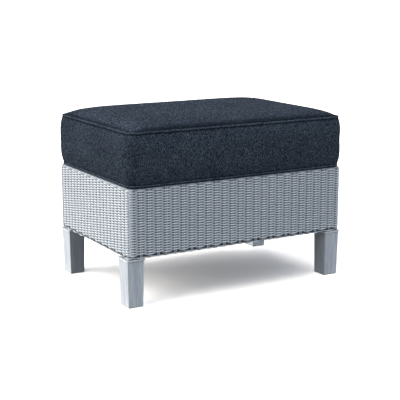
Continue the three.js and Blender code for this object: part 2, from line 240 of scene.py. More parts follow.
fabricFinish = {
    "dark": (0.0054, 0.0096, 0.0172),
    "middle": (0.0275, 0.037, 0.0545),
    "light": (0.118, 0.146, 0.186),
    "toneStops": (0.445, 0.50, 0.56),
    # painted highlight: the welt cords use a lighter copy of the cover's fabric
    "weltHighlight": 1.25,
    # painted shade: faces towards the left and right, and the top, are darkened by which way they face
    "sidePaintedShade": (0.62, 0.64, 0.67),
    "sideSpan": (0.4, 0.95),
    "topPaintedShade": (0.78, 0.80, 0.83),
    "topSpan": (0.55, 0.8),
    # painted shade in the creases beside the welts
    "creaseShade": (0.25, 0.26, 0.28),
    "creaseStops": (0.0, 0.9),
    "uprightScale": (690, 690, 215),
    "levelScale": (690, 138, 690),
    "levelShift": (3, 5, 7),
    "speckScale": 740,
    "cloudScale": 9,
    "shares": (0.58, 0.38, 0.04),
    "sheen": 0.01,
    "sheenRoughness": 0.5,
    "roughness": 0.92,
    "bump": (0.6, 0.0010),
}
zipFinish = {
    "darker": 0.7,
    "lighter": 1.35,
    "toneStops": (0.35, 0.68),
    "mottleScale": 420,
    "bump": (0.2, 0.0002),
}
zipTones = {
    "zip_tape": {"colour": (0.016, 0.021, 0.03), "roughness": 0.85, "metallic": 0},
    "zip_coil": {"colour": (0.022, 0.027, 0.036), "roughness": 0.4, "metallic": 0},
    "zip_metal": {"colour": (0.032, 0.038, 0.048), "roughness": 0.4, "metallic": 0.5},
    "sewing_thread": {"colour": (0.05, 0.062, 0.08), "roughness": 0.7, "metallic": 0},
}


def makeWeaveMaterial():
    material, tree, shader = newMaterial("resin_strand")
    finish = weaveFinish
    streak = noiseAt(tree, objectPattern(tree, finish["streakScale"]), detail=4, roughness=0.6)
    speck = noiseAt(tree, objectPattern(tree), finish["speckScale"], detail=2)
    mixed = weightedSum(tree, (streak, speck), finish["shares"])
    colour = rampFrom(tree, mixed, finish["toneStops"], (finish["dark"], finish["light"]))
    # painted shade: the depth attribute darkens deeper strands and stakes, and the rim attribute darkens
    # each strand's rims
    depth = addNode(tree, "ShaderNodeAttribute", attribute_name="depth")
    depthShades = (noTint, finish["crossingShade"], finish["crossingShade"], finish["creviceShade"])
    paintedShade = rampFrom(tree, depth.outputs["Fac"], finish["depthStops"], depthShades)
    rim = addNode(tree, "ShaderNodeAttribute", attribute_name="rim")
    shade = rampFrom(tree, rim.outputs["Fac"], finish["rimStops"], (noTint, finish["rim"]))
    paintedShade = multiplyColours(tree, 1.0, paintedShade, shade)
    finishShader(tree, shader, multiplyColours(tree, 1.0, colour, paintedShade), speck, finish)
    return material


def makeLegMaterial():
    material, tree, shader = newMaterial("weathered_board")
    finish = legFinish
    broad = noiseAt(tree, objectPattern(tree, finish["broadScale"]), detail=4, roughness=0.6)
    fine = noiseAt(tree, objectPattern(tree, finish["fineScale"]), roughness=0.55)
    mixed = weightedSum(tree, (broad, fine), finish["shares"])
    tones = (finish["dark"], finish["middle"], finish["light"])
    finishShader(tree, shader, rampFrom(tree, mixed, finish["toneStops"], tones), fine, finish)
    return material


def makeFrameMaterial():
    material, tree, shader = newMaterial("powder_coat")
    finish = frameFinish
    patch = noiseAt(tree, objectPattern(tree), finish["patchScale"])
    grit = noiseAt(tree, objectPattern(tree), finish["gritScale"], detail=2)
    tones = (scaled(finish["colour"], finish["darker"]), scaled(finish["colour"], finish["lighter"]))
    finishShader(tree, shader, rampFrom(tree, patch, finish["toneStops"], tones), grit, finish)
    return material


def makeGlideMaterial():
    material, tree, shader = newMaterial("glide_plastic")
    finish = glideFinish
    scuff = noiseAt(tree, objectPattern(tree), finish["scuffScale"], detail=4, roughness=0.6)
    tones = (finish["dark"], finish["light"])
    finishShader(tree, shader, rampFrom(tree, scuff, finish["toneStops"], tones), scuff, finish)
    return material


def makeSteelMaterial():
    material, tree, shader = newMaterial("zinc_steel")
    finish = steelFinish
    brushed = noiseAt(tree, objectPattern(tree, finish["brushScale"]))
    tones = (finish["dark"], finish["light"])
    finishShader(tree, shader, rampFrom(tree, brushed, finish["toneStops"], tones), brushed, finish)
    shader.inputs["Metallic"].default_value = 1
    return material


def makeFabricMaterial(name, lift=1.0):
    # threads run upright on the sides and from front to rear on the top
    material, tree, shader = newMaterial(name)
    finish = fabricFinish
    upright = noiseAt(tree, objectPattern(tree, finish["uprightScale"]), roughness=0.6)
    level = noiseAt(tree, objectPattern(tree, finish["levelScale"], finish["levelShift"]), roughness=0.6)
    place = addNode(tree, "ShaderNodeTexCoord")
    normal = addNode(tree, "ShaderNodeSeparateXYZ")
    link(tree, place.outputs["Normal"], normal.inputs[0])
    onTop = riseOver(tree, normal.outputs["Z"], finish["topSpan"])
    onSide = riseOver(tree, normal.outputs["X"], finish["sideSpan"])
    threads = addNode(tree, "ShaderNodeMix")
    # a plain mix keeps its two values at 2 and 3
    for index, value in ((0, onTop), (2, upright), (3, level)):
        link(tree, value, threads.inputs[index])
    speck = noiseAt(tree, objectPattern(tree), finish["speckScale"], detail=2, roughness=0.6)
    cloud = noiseAt(tree, objectPattern(tree), finish["cloudScale"], detail=2)
    mixed = weightedSum(tree, (threads.outputs[0], speck, cloud), finish["shares"])
    tones = [scaled(finish[tone], lift) for tone in ("dark", "middle", "light")]
    colour = rampFrom(tree, mixed, finish["toneStops"], tones)
    # painted shade: the sides and the top are darkened by which way they face
    colour = multiplyColours(tree, onSide, colour, finish["sidePaintedShade"])
    colour = multiplyColours(tree, onTop, colour, finish["topPaintedShade"])
    # painted shade: the fabric beside each welt is darkened as the shade in the seam's crease
    seam = addNode(tree, "ShaderNodeAttribute", attribute_name="seam")
    creaseShade = rampFrom(tree, seam.outputs["Fac"], finish["creaseStops"], (noTint, finish["creaseShade"]))
    finishShader(tree, shader, multiplyColours(tree, 1.0, colour, creaseShade), mixed, finish)
    shader.inputs["Specular IOR Level"].default_value = 0
    shader.inputs["Sheen Weight"].default_value = finish["sheen"]
    shader.inputs["Sheen Roughness"].default_value = finish["sheenRoughness"]
    return material


def makeZipMaterial(name):
    material, tree, shader = newMaterial(name)
    finish = {**zipFinish, **zipTones[name]}
    mottle = noiseAt(tree, objectPattern(tree), finish["mottleScale"])
    tones = (scaled(finish["colour"], finish["darker"]), scaled(finish["colour"], finish["lighter"]))
    finishShader(tree, shader, rampFrom(tree, mottle, finish["toneStops"], tones), mottle, finish)
    shader.inputs["Metallic"].default_value = finish["metallic"]
    return material


weaveMaterial = makeWeaveMaterial()
legMaterial = makeLegMaterial()
frameMaterial = makeFrameMaterial()
glideMaterial = makeGlideMaterial()
steelMaterial = makeSteelMaterial()
fabricMaterial = makeFabricMaterial("heather_fabric")
# painted highlight: a lighter copy of the cover's fabric for the welts
weltMaterial = makeFabricMaterial("heather_welt", fabricFinish["weltHighlight"])
tapeMaterial = makeZipMaterial("zip_tape")
coilMaterial = makeZipMaterial("zip_coil")
zipMetalMaterial = makeZipMaterial("zip_metal")
threadMaterial = makeZipMaterial("sewing_thread")

# a node takes the material of the first row that its name starts with
nodeFinishes = {
    "leg_binding_": weaveMaterial,
    "leg_screw_": steelMaterial,
    "leg_": legMaterial,
    "glide_": glideMaterial,
    "corner_post_": frameMaterial,
    "corner_gusset_": frameMaterial,
    "top_rail_": frameMaterial,
    "bottom_rail_": frameMaterial,
    "woven_side_": weaveMaterial,
    "deck_slat_": frameMaterial,
    "cushion_": fabricMaterial,
    "zip_strip_": fabricMaterial,
    "welt_": weltMaterial,
    "zip_chain": tapeMaterial,
    "zip_slider": zipMetalMaterial,
    "zip_pull": zipMetalMaterial,
}
for name, item in cadNodes.items():
    finish = next(material for start, material in nodeFinishes.items() if name.startswith(start))
    for materialSlot in item.material_slots:
        materialSlot.material = finish
print("materials made")


# Strands and tubes along paths

def sectionCurve(name, width, height, sides):
    data = bpy.data.curves.new(name, "CURVE")
    data.dimensions = "2D"
    spline = data.splines.new("POLY")
    spline.points.add(sides - 1)
    for index in range(sides):
        angle = 2 * math.pi * (index + 0.5) / sides
        spline.points[index].co = (width / 2 * math.cos(angle), height / 2 * math.sin(angle), 0, 1)
    spline.use_cyclic_u = True
    item = bpy.data.objects.new(name, data)
    scene.collection.objects.link(item)
    return item


def tubesAlong(name, paths, section, material, closed=False, twist="Z_UP", scales=None):
    data = bpy.data.curves.new(name + "_path", "CURVE")
    data.dimensions = "3D"
    data.twist_mode = twist
    data.bevel_mode = "OBJECT"
    data.bevel_object = section
    data.use_fill_caps = not closed
    for index, path in enumerate(paths):
        spline = data.splines.new("POLY")
        spline.points.add(len(path) - 1)
        flat = [value for point in path for value in (*point, 1)]
        spline.points.foreach_set("co", flat)
        if scales:
            spline.points.foreach_set("radius", scales[index])
        spline.use_cyclic_u = closed
    carrier = bpy.data.objects.new(name + "_path", data)
    scene.collection.objects.link(carrier)
    shaped = carrier.evaluated_get(bpy.context.evaluated_depsgraph_get())
    mesh = bpy.data.meshes.new_from_object(shaped)
    mesh.name = name
    bpy.data.objects.remove(carrier)
    return finishPiece(name, mesh, material)


def finishPiece(name, mesh, material, smooth=True):
    mesh.materials.clear()
    mesh.materials.append(material)
    mesh.polygons.foreach_set("use_smooth", [smooth] * len(mesh.polygons))
    item = bpy.data.objects.new(name, mesh)
    scene.collection.objects.link(item)
    return item


def setPointValues(piece, name, values):
    attribute = piece.data.attributes.new(name, "FLOAT", "POINT")
    attribute.data.foreach_set("value", values)


# Woven sides: strands before and behind paired stakes, over the top rail and under the bottom one

weave = {
    "columnsLong": 27,
    "columnsShort": 21,
    "rowPitch": 0.00352,
    "strandHeight": 0.0048,
    "strandDepth": 0.0024,
    "strandSides": 6,
    "stepsPerColumn": 8,
    "swing": 0.00255,
    "frontScale": 0.82,
    "rearScale": 2.05,
    "widenFrom": 0.45,
    "middleInset": 0.0038,
    "edgeRadius": 0.002,
    "cornerCut": 0.011,
    "cornerBow": 0.0014,
    "foldRadius": 0.008,
    "lip": 0.0172,
    "underWrap": 0.0180,
    "hemGap": 0.0036,
    "stakeGap": 0.0046,
    "stakeSize": 0.0028,
    "stakeSides": 6,
    "stakeSteps": 60,
    "stakeInset": 0.0031,
    "wander": 0.00030,
    "wanderScale": 22,
    "wanderRowStep": 5.3,
    "waver": 0.00025,
    "waverScale": 90,
    "waverRowStep": 9.7,
    "lipCalm": 0.5,
    # painted shade: how much deeper the lip under the cushion and the hem's gap are made
    "shadeGain": 2.5,
    "lipShadeStart": 0.0026,
    "lipShadeMost": 0.0030,
    "hemShadeLow": 0.0014,
    "hemShadeHigh": 0.0075,
    "hemShadeStart": 0.0012,
    "hemShadeMost": 0.0040,
}


def profileAt(distance, low, high):
    # inset, height and outward direction at a distance along the wrap, from under the bottom rail up
    radius = weave["edgeRadius"]
    inset = weave["middleInset"]
    under = weave["underWrap"] - inset - radius
    quarter = radius * math.pi / 2
    face = high - low - 2 * radius
    if distance < under:
        return weave["underWrap"] - distance, low, 0, -1
    distance -= under
    if distance < quarter:
        outward = math.sin(distance / radius)
        downward = math.cos(distance / radius)
        return inset + radius - radius * outward, low + radius - radius * downward, -outward, -downward
    distance -= quarter
    if distance < face:
        return inset, low + radius + distance, -1, 0
    distance -= face
    if distance < quarter:
        outward = math.cos(distance / radius)
        upward = math.sin(distance / radius)
        return inset + radius - radius * outward, high - radius + radius * upward, -outward, upward
    distance -= quarter
    return inset + radius + distance, high, 0, 1


def profileLength(low, high):
    radius = weave["edgeRadius"]
    ends = weave["underWrap"] + weave["lip"] - 2 * (weave["middleInset"] + radius)
    return ends + radius * math.pi + high - low - 2 * radius


def foldStart(halfRun):
    return halfRun - weave["cornerCut"] - weave["foldRadius"] * math.tan(math.pi / 8)


def sideReach(halfRun):
    chord = weave["cornerCut"] / math.sqrt(2) - weave["foldRadius"] * math.tan(math.pi / 8)
    return foldStart(halfRun) + weave["foldRadius"] * math.pi / 4 + chord


def sidePoint(run, inset, z, halfRun, halfFace):
    # level along the face, a fold of 45 degrees, then straight across the corner between the last stakes
    start = foldStart(halfRun)
    past = abs(run) - start
    if past <= 0:
        return Vector((run, inset - halfFace, z))
    fold = weave["foldRadius"]
    angle = min(past / fold, math.pi / 4)
    chord = max(past - fold * math.pi / 4, 0) / math.sqrt(2)
    across = min(past / (sideReach(halfRun) - start), 1)
    bow = weave["cornerBow"] * math.sin(math.pi / 2 * across) ** 2
    x = start + (fold - inset + bow) * math.sin(angle) + chord
    y = fold - halfFace - (fold - inset + bow) * math.cos(angle) + chord
    return Vector((math.copysign(x, run), y, z))


def rowPlaces(low, high):
    # rows under the rail, one on the hem's edge, a wider gap, then rows up the face and over the lip
    pitch = weave["rowPitch"]
    hem = weave["underWrap"] - weave["middleInset"] - weave["edgeRadius"] * (1 - math.pi / 4)
    first = hem + pitch + weave["hemGap"]
    span = profileLength(low, high) - pitch / 2 - first
    count = round(span / pitch)
    below = [hem - index * pitch for index in range(int(hem / pitch), -1, -1)]
    return below + [first + span * index / count for index in range(count + 1)]


def weavePhase(run, halfRun, columns, cornerGap):
    # half a turn from one column of stakes to the next, round the corners too
    pitch = 2 * halfRun / columns
    lastColumn = (columns - 1) / 2 * pitch
    if abs(run) <= lastColumn:
        return math.pi * (run + lastColumn) / pitch
    beyond = math.pi * (abs(run) - lastColumn) / cornerGap
    return -beyond if run < 0 else math.pi * (columns - 1) + beyond


def shadeDepth(inset, start, most):
    return min((inset - start) * weave["shadeGain"], most)


def markDepth(piece, unturned, halfRun, halfFace, low, high):
    # how far each point lies inside the woven face, from 0 outside to 1 inside
    edge = weave["edgeRadius"] + weave["middleInset"]
    foldX = halfRun - weave["cornerCut"]
    values = []
    for vertex in piece.data.vertices:
        place = unturned @ vertex.co
        faceIn = halfFace + place.y
        inset = min(faceIn, (foldX - abs(place.x) + faceIn) / math.sqrt(2))
        heightIn = min(place.z - low, high - place.z) + weave["middleInset"]
        if max(inset, heightIn) < edge:
            depth = edge - math.hypot(edge - inset, edge - heightIn)
        else:
            depth = min(inset, heightIn)
        # painted shade: under the cushion the lip is pushed deeper, which the material shows as a contact
        # shadow
        if place.z > high - weave["middleInset"]:
            depth = max(depth, shadeDepth(inset, weave["lipShadeStart"], weave["lipShadeMost"]))
        # painted shade: just above the hem, stakes and strands are pushed deeper, which the material shows
        # as the shade in the hem's gap
        if weave["hemShadeLow"] < place.z - low < weave["hemShadeHigh"]:
            depth = max(depth, shadeDepth(inset, weave["hemShadeStart"], weave["hemShadeMost"]))
        values.append(min(max(depth / (2 * weave["middleInset"]), 0), 1))
    setPointValues(piece, "depth", values)


def markRim(piece, sides):
    # 1 along a strand's upper and lower rims, and less towards the middle of its face; the material darkens
    # the rims with it as painted shade
    heights = [abs(math.sin(2 * math.pi * (index + 0.5) / sides)) for index in range(sides)]
    setPointValues(piece, "rim", [heights[index % sides] for index in range(len(piece.data.vertices))])


def strandPaths(turned, halfRun, halfFace, columns, cornerGap, firstColumn, low, high):
    # a strand is widened where it passes behind the stakes, so that no light comes through
    end = sideReach(halfRun)
    steps = columns * weave["stepsPerColumn"]
    runs = [end * (2 * step / steps - 1) for step in range(steps + 1)]
    paths = []
    scales = []
    for row, rowPlace in enumerate(rowPlaces(low, high)):
        inset, z, outward, upward = profileAt(rowPlace, low, high)
        calm = 1 - weave["lipCalm"] * max(upward, 0)
        path = []
        widths = []
        for run in runs:
            swing = math.cos(weavePhase(run, halfRun, columns, cornerGap) + math.pi * (row + firstColumn))
            place = turned @ sidePoint(run, inset, z, halfRun, halfFace)
            wide = place * weave["wanderScale"]
            near = place * weave["waverScale"]
            slow = noise.noise(Vector((wide.x, wide.y, row * weave["wanderRowStep"])))
            quick = noise.noise(Vector((near.x, near.y, row * weave["waverRowStep"])))
            depth = weave["swing"] * calm * swing + weave["waver"] * quick
            slide = weave["wander"] * slow
            movedInset = inset + outward * depth - abs(upward) * slide
            movedZ = z + upward * depth + abs(outward) * slide
            path.append(turned @ sidePoint(run, movedInset, movedZ, halfRun, halfFace))
            behind = max(weave["widenFrom"] - swing, 0) / (1 + weave["widenFrom"])
            widths.append(weave["frontScale"] + (weave["rearScale"] - weave["frontScale"]) * behind)
        paths.append(path)
        scales.append(widths)
    return paths, scales


def stakePaths(turned, halfRun, halfFace, columns, low, high):
    pitch = 2 * halfRun / columns
    length = profileLength(low, high)
    forward = weave["middleInset"] - weave["stakeInset"]
    paths = []
    for column in range(columns):
        for shift in (-0.5, 0.5):
            run = (column - (columns - 1) / 2) * pitch + shift * weave["stakeGap"]
            path = []
            for step in range(weave["stakeSteps"] + 1):
                inset, z, outward, upward = profileAt(length * step / weave["stakeSteps"], low, high)
                place = sidePoint(run, inset + outward * forward, z + upward * forward, halfRun, halfFace)
                path.append(turned @ place)
            paths.append(path)
    return paths


def addWovenSide(side, turn, halfRun, halfFace, columns, cornerGap, firstColumn, low, high):
    turned = Matrix.Rotation(turn, 4, "Z")
    strands, scales = strandPaths(turned, halfRun, halfFace, columns, cornerGap, firstColumn, low, high)
    stakes = stakePaths(turned, halfRun, halfFace, columns, low, high)
    strandPiece = tubesAlong("strands_" + side, strands, strandSection, weaveMaterial, scales=scales)
    stakePiece = tubesAlong("stakes_" + side, stakes, stakeSection, weaveMaterial, twist="MINIMUM")
    # painted shade: the depth marks darken strands and stakes, and the rim marks darken the strands' rims
    for piece in (strandPiece, stakePiece):
        markDepth(piece, turned.inverted(), halfRun, halfFace, low, high)
    markRim(strandPiece, weave["strandSides"])
    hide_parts("woven_side_" + side)
    for piece in (strandPiece, stakePiece):
        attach(piece, "frame")


strandSection = sectionCurve(
    "strand_section", weave["strandDepth"], weave["strandHeight"], weave["strandSides"],
)
stakeSection = sectionCurve("stake_section", weave["stakeSize"], weave["stakeSize"], weave["stakeSides"])
frontLow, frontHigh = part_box("woven_side_front")
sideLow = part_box("woven_side_left")[0]
halfLong = -sideLow.x
halfShort = -frontLow.y
weaveLow = frontLow.z + weave["middleInset"]
weaveHigh = frontHigh.z - weave["middleInset"]
cornerLoss = 2 * (halfLong - sideReach(halfLong))
cornerGap = halfLong / weave["columnsLong"] + halfShort / weave["columnsShort"] - cornerLoss
firstColumn = 0
for side, quarters, halfRun, halfFace, columns in (
    ("front", 0, halfLong, halfShort, weave["columnsLong"]),
    ("right", 1, halfShort, halfLong, weave["columnsShort"]),
    ("rear", 2, halfLong, halfShort, weave["columnsLong"]),
    ("left", 3, halfShort, halfLong, weave["columnsShort"]),
):
    turn = quarters * math.pi / 2
    addWovenSide(side, turn, halfRun, halfFace, columns, cornerGap, firstColumn, weaveLow, weaveHigh)
    firstColumn += columns
print("woven sides made")


# Bindings: two strands twisted round the top of each leg

binding = {
    "strand": 0.0034,
    "flatness": 0.8,
    "sides": 8,
    "cornerRadius": 0.0035,
    "twistLength": 0.036,
    "rise": 0.0009,
    "depth": 0.0005,
    "step": 0.0025,
}


def loopPoint(distance, halfX, halfY, radius):
    # a place on a rounded rectangle, from the left end of its front on, and which way is out there
    sideX = 2 * (halfX - radius)
    sideY = 2 * (halfY - radius)
    quarter = radius * math.pi / 2
    place = distance % (2 * (sideX + sideY) + 4 * quarter)
    for index, span in enumerate((sideX, sideY, sideX, sideY)):
        ahead = Matrix.Rotation(index * math.pi / 2, 3, "Z")
        reachX, reachY = (halfX, halfY) if index % 2 == 0 else (halfY, halfX)
        if place <= span:
            return ahead @ Vector((place - span / 2, -reachY, 0)), ahead @ Vector((0, -1, 0))
        place -= span
        if place <= quarter:
            angle = place / radius
            out = Vector((math.sin(angle), -math.cos(angle), 0))
            centre = Vector((reachX - radius, radius - reachY, 0))
            return ahead @ (centre + radius * out), ahead @ out
        place -= quarter
    return ahead @ Vector((-sideX / 2, -halfY, 0)), ahead @ Vector((0, -1, 0))


def loopLength(halfX, halfY, radius):
    return 4 * (halfX + halfY - 2 * radius) + 2 * math.pi * radius


bindingWidth = binding["strand"] * binding["flatness"]
bindingSection = sectionCurve("binding_section", bindingWidth, binding["strand"], binding["sides"])
for corner in ("front_left", "front_right", "rear_left", "rear_right"):
    low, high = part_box("leg_binding_" + corner)
    centre = (low + high) / 2
    centre.z = high.z - binding["strand"] / 2 - binding["rise"]
    halfX = (high.x - low.x - binding["strand"]) / 2
    halfY = (high.y - low.y - binding["strand"]) / 2
    around = loopLength(halfX, halfY, binding["cornerRadius"])
    stops = round(around / binding["step"])
    twists = round(around / binding["twistLength"])
    paths = []
    for strand in (0, 1):
        path = []
        for stop in range(stops):
            place, out = loopPoint(around * stop / stops, halfX, halfY, binding["cornerRadius"])
            angle = 2 * math.pi * twists * stop / stops + strand * math.pi
            lift = Vector((0, 0, binding["rise"] * math.cos(angle)))
            path.append(centre + place + lift + binding["depth"] * math.sin(angle) * out)
        paths.append(path)
    piece = tubesAlong("binding_strands_" + corner, paths, bindingSection, weaveMaterial, closed=True)
    # painted shade along the binding strands' upper and lower rims
    markRim(piece, binding["sides"])
    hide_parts("leg_binding_" + corner)
    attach(piece, "frame")
print("bindings made")


# Cushion: one stuffed cover, grown from a cube and mapped to a rounded, crowned block

cushion = {
    "cuts": 54,
    "cubeFace": 0.9999,
    "crown": 0.0258,
    "crownPower": 7,
    "crownSoft": 0.62,
    "baseEase": 2.2,
    "bulge": 0.0080,
    "bulgePower": 4,
    "cornerRadius": 0.026,
    "zipValley": 0.0014,
    "zipValleyHeight": 0.011,
    "frames": 20,
    "swellCap": 0.0032,
    "crownCap": 0.0010,
    "sinkCap": 0.0005,
    "zipCap": 0.0003,
    "zipReachUp": 0.012,
    "zipReachOut": 0.01,
    "baseDrop": 0.001,
    "creaseDepth": 0.0040,
    "creaseReach": 0.0100,
    "weltSides": 10,
    "weltStep": 0.006,
    "weltWaver": 0.0006,
    "weltWaverScale": (14, 14, 30),
}
clothSettings = {
    "quality": 6,
    "mass": 0.25,
    "tension_stiffness": 12,
    "compression_stiffness": 12,
    "shear_stiffness": 4,
    "bending_stiffness": 0.6,
    "use_pressure": True,
    "uniform_pressure_force": 3.0,
    "shrink_min": -0.012,
    "vertex_group_mass": "seams",
}
weltLow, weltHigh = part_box("welt_top")
lowerWeltLow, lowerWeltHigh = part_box("welt_bottom")
weltRadius = (weltHigh.z - weltLow.z) / 2
weltHalfX = weltHigh.x - weltRadius
weltHalfY = weltHigh.y - weltRadius
upperWeltZ = (weltLow.z + weltHigh.z) / 2
lowerWeltZ = (lowerWeltLow.z + lowerWeltHigh.z) / 2
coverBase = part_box("cushion_bottom_panel")[0].z
chainLow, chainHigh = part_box("zip_chain")
zipMiddle = (chainLow.z + chainHigh.z) / 2
zipHalf = (chainHigh.x - chainLow.x) / 2


def roundCorner(x, y, halfX, halfY, radius):
    overX = max(abs(x) - (halfX - radius), 0) / radius
    overY = max(abs(y) - (halfY - radius), 0) / radius
    if overX > 0 and overY > 0:
        x = math.copysign(halfX - radius + radius * overX * math.sqrt(1 - overY * overY / 2), x)
        y = math.copysign(halfY - radius + radius * overY * math.sqrt(1 - overX * overX / 2), y)
    return x, y


def crownAt(u, v):
    edge = (1 - abs(u) ** cushion["crownPower"]) * (1 - abs(v) ** cushion["crownPower"])
    return cushion["crown"] * max(edge, 0) ** cushion["crownSoft"]


def panelPoint(u, v, w):
    # the top panel is crowned, and the bottom one drops from the welt to the cover's base
    x, y = roundCorner(u * weltHalfX, v * weltHalfY, weltHalfX, weltHalfY, cushion["cornerRadius"])
    if w > 0:
        return x, y, upperWeltZ + crownAt(u, v)
    ease = min(crownAt(u, v) / cushion["crown"] * cushion["baseEase"], 1)
    return x, y, lowerWeltZ + (coverBase - lowerWeltZ) * ease


def boxingPoint(u, v, w):
    # the boxing bulges between the welts, less so along the zip
    z = (upperWeltZ + lowerWeltZ) / 2 + w * (upperWeltZ - lowerWeltZ) / 2
    swell = cushion["bulge"] * (1 - abs(w) ** cushion["bulgePower"])
    if v > cushion["cubeFace"]:
        swell -= cushion["zipValley"] * math.exp(-((z - zipMiddle) / cushion["zipValleyHeight"]) ** 2)
    halfX = weltHalfX + swell
    halfY = weltHalfY + swell
    x, y = roundCorner(u * halfX, v * halfY, halfX, halfY, cushion["cornerRadius"] + swell)
    return x, y, z


def simulateCushion(item):
    cloth = item.modifiers.new("cloth", "CLOTH")
    for key, value in clothSettings.items():
        setattr(cloth.settings, key, value)
    cloth.settings.effector_weights.gravity = 0
    cloth.point_cache.frame_start = 1
    cloth.point_cache.frame_end = cushion["frames"]
    for step in range(1, cushion["frames"] + 1):
        scene.frame_set(step)
    shaped = item.evaluated_get(bpy.context.evaluated_depsgraph_get())
    places = [vertex.co.copy() for vertex in shaped.data.vertices]
    item.modifiers.remove(cloth)
    scene.frame_set(1)
    return places


def cappedShift(start, end, normal):
    # the cloth moves only so far that the cover stays near its solid, off the deck and clear of the zip
    shift = end - start
    alongZip = abs(start.x) < zipHalf + cushion["zipReachOut"]
    nearZip = start.y > weltHalfY and abs(start.z - zipMiddle) < cushion["zipReachUp"] and alongZip
    onBase = start.z < lowerWeltZ - cushion["baseDrop"]
    if nearZip or onBase:
        cap = cushion["zipCap"]
    elif shift.dot(normal) < 0:
        cap = cushion["sinkCap"]
    elif start.z > upperWeltZ:
        cap = cushion["crownCap"]
    else:
        cap = cushion["swellCap"]
    if shift.length > cap:
        shift *= cap / shift.length
    if onBase:
        shift.z = max(shift.z, 0)
    return shift


def markSeams(item, places):
    # 1 beside a welt, falling to 0 a little way over the boxing or in over a panel; the fabric darkens with
    # it as painted shade in the seams
    values = []
    for place in places:
        fromWelt = min(abs(place.z - upperWeltZ), abs(place.z - lowerWeltZ))
        inward = min(weltHalfX - abs(place.x), weltHalfY - abs(place.y))
        if place.z > upperWeltZ or place.z < lowerWeltZ:
            share = 1 - (inward - weltRadius) / cushion["creaseReach"]
        else:
            share = 1 - (fromWelt - weltRadius) / cushion["creaseDepth"]
        values.append(min(max(share, 0), 1))
    setPointValues(item, "seam", values)


def makeCushion():
    builder = bmesh.new()
    bmesh.ops.create_cube(builder, size=2)
    bmesh.ops.subdivide_edges(builder, edges=builder.edges[:], cuts=cushion["cuts"], use_grid_fill=True)
    builder.verts.index_update()
    seamIndices = []
    for vertex in builder.verts:
        u, v, w = vertex.co
        onPanel = abs(w) > cushion["cubeFace"]
        if onPanel and max(abs(u), abs(v)) > cushion["cubeFace"]:
            seamIndices.append(vertex.index)
        vertex.co = panelPoint(u, v, w) if onPanel else boxingPoint(u, v, w)
    mesh = bpy.data.meshes.new("cushion_cover")
    builder.to_mesh(mesh)
    builder.free()
    item = finishPiece("cushion_cover", mesh, fabricMaterial)
    group = item.vertex_groups.new(name="seams")
    group.add(seamIndices, 1.0, "REPLACE")
    rest = [vertex.co.copy() for vertex in mesh.vertices]
    outward = [vertex.normal.copy() for vertex in mesh.vertices]
    moved = simulateCushion(item)
    for vertex, start, end, normal in zip(mesh.vertices, rest, moved, outward):
        vertex.co = start + cappedShift(start, end, normal)
    item.vertex_groups.clear()
    markSeams(item, rest)
    smooth = item.modifiers.new("smooth", "SUBSURF")
    smooth.levels = 1
    smooth.render_levels = 1
    return item


def weltPath(z):
    radius = cushion["cornerRadius"]
    scaleX, scaleY, scaleZ = cushion["weltWaverScale"]
    around = loopLength(weltHalfX, weltHalfY, radius)
    stops = round(around / cushion["weltStep"])
    places = []
    for stop in range(stops):
        place, out = loopPoint(around * stop / stops, weltHalfX, weltHalfY, radius)
        drift = noise.noise(Vector((place.x * scaleX, place.y * scaleY, z * scaleZ)))
        waver = drift * cushion["weltWaver"]
        places.append(place + Vector((0, 0, z + waver)) + out * waver)
    return places


cover = makeCushion()
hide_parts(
    "cushion_foam", "cushion_top_panel", "cushion_bottom_panel", "cushion_boxing",
    "zip_strip_lower", "zip_strip_upper",
)
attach(cover, "cushion")

weltSection = sectionCurve("welt_section", 2 * weltRadius, 2 * weltRadius, cushion["weltSides"])
for name, node, z in (
    ("welt_cord_top", "welt_top", upperWeltZ),
    ("welt_cord_bottom", "welt_bottom", lowerWeltZ),
):
    piece = tubesAlong(name, [weltPath(z)], weltSection, weltMaterial, closed=True)
    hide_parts(node)
    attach(piece, "cushion")
print("cushion made")


# Zip: teeth on a tape, stitches on both sides and a seam at each end of the zip strip

zipLook = {
    "toothPitch": 0.0019,
    "toothLength": 0.0011,
    "toothDepth": 0.0011,
    "toothReach": 0.0029,
    "tapeDepth": 0.0004,
    "stitchOffset": 0.0065,
    "stitchPitch": 0.0042,
    "stitchLength": 0.0031,
    "stitchWidth": 0.0007,
    "stitchSides": 5,
    "stitchSunk": -0.0002,
    "stitchProud": 0.0001,
    "seamWidth": 0.0013,
    "seamSides": 8,
    "seamSteps": 36,
    "seamSunk": -0.0003,
    "seamFromWelt": 1.2,
}


def addBlock(builder, size, centre):
    place = Matrix.Translation(centre) @ Matrix.Diagonal((*size, 1))
    bmesh.ops.create_cube(builder, size=1, matrix=place)


def pieceFrom(name, builder, material):
    mesh = bpy.data.meshes.new(name)
    builder.to_mesh(mesh)
    builder.free()
    return finishPiece(name, mesh, material, smooth=False)


def addTeeth():
    builder = bmesh.new()
    pitch = zipLook["toothPitch"]
    depth = zipLook["toothDepth"]
    reach = zipLook["toothReach"]
    half = (chainHigh.z - chainLow.z) / 2
    count = int(2 * (zipHalf - pitch) / pitch)
    for index in range(count):
        side = 1 if index % 2 else -1
        x = (index - (count - 1) / 2) * pitch
        centre = (x, chainHigh.y - depth / 2, zipMiddle + side * (half - reach / 2))
        addBlock(builder, (zipLook["toothLength"], depth, reach), centre)
    return pieceFrom("zip_teeth", builder, coilMaterial)


def addTape():
    builder = bmesh.new()
    depth = zipLook["tapeDepth"]
    size = (chainHigh.x - chainLow.x, depth, chainHigh.z - chainLow.z)
    addBlock(builder, size, (0, chainHigh.y - zipLook["toothDepth"] - depth / 2, zipMiddle))
    return pieceFrom("zip_tape", builder, tapeMaterial)


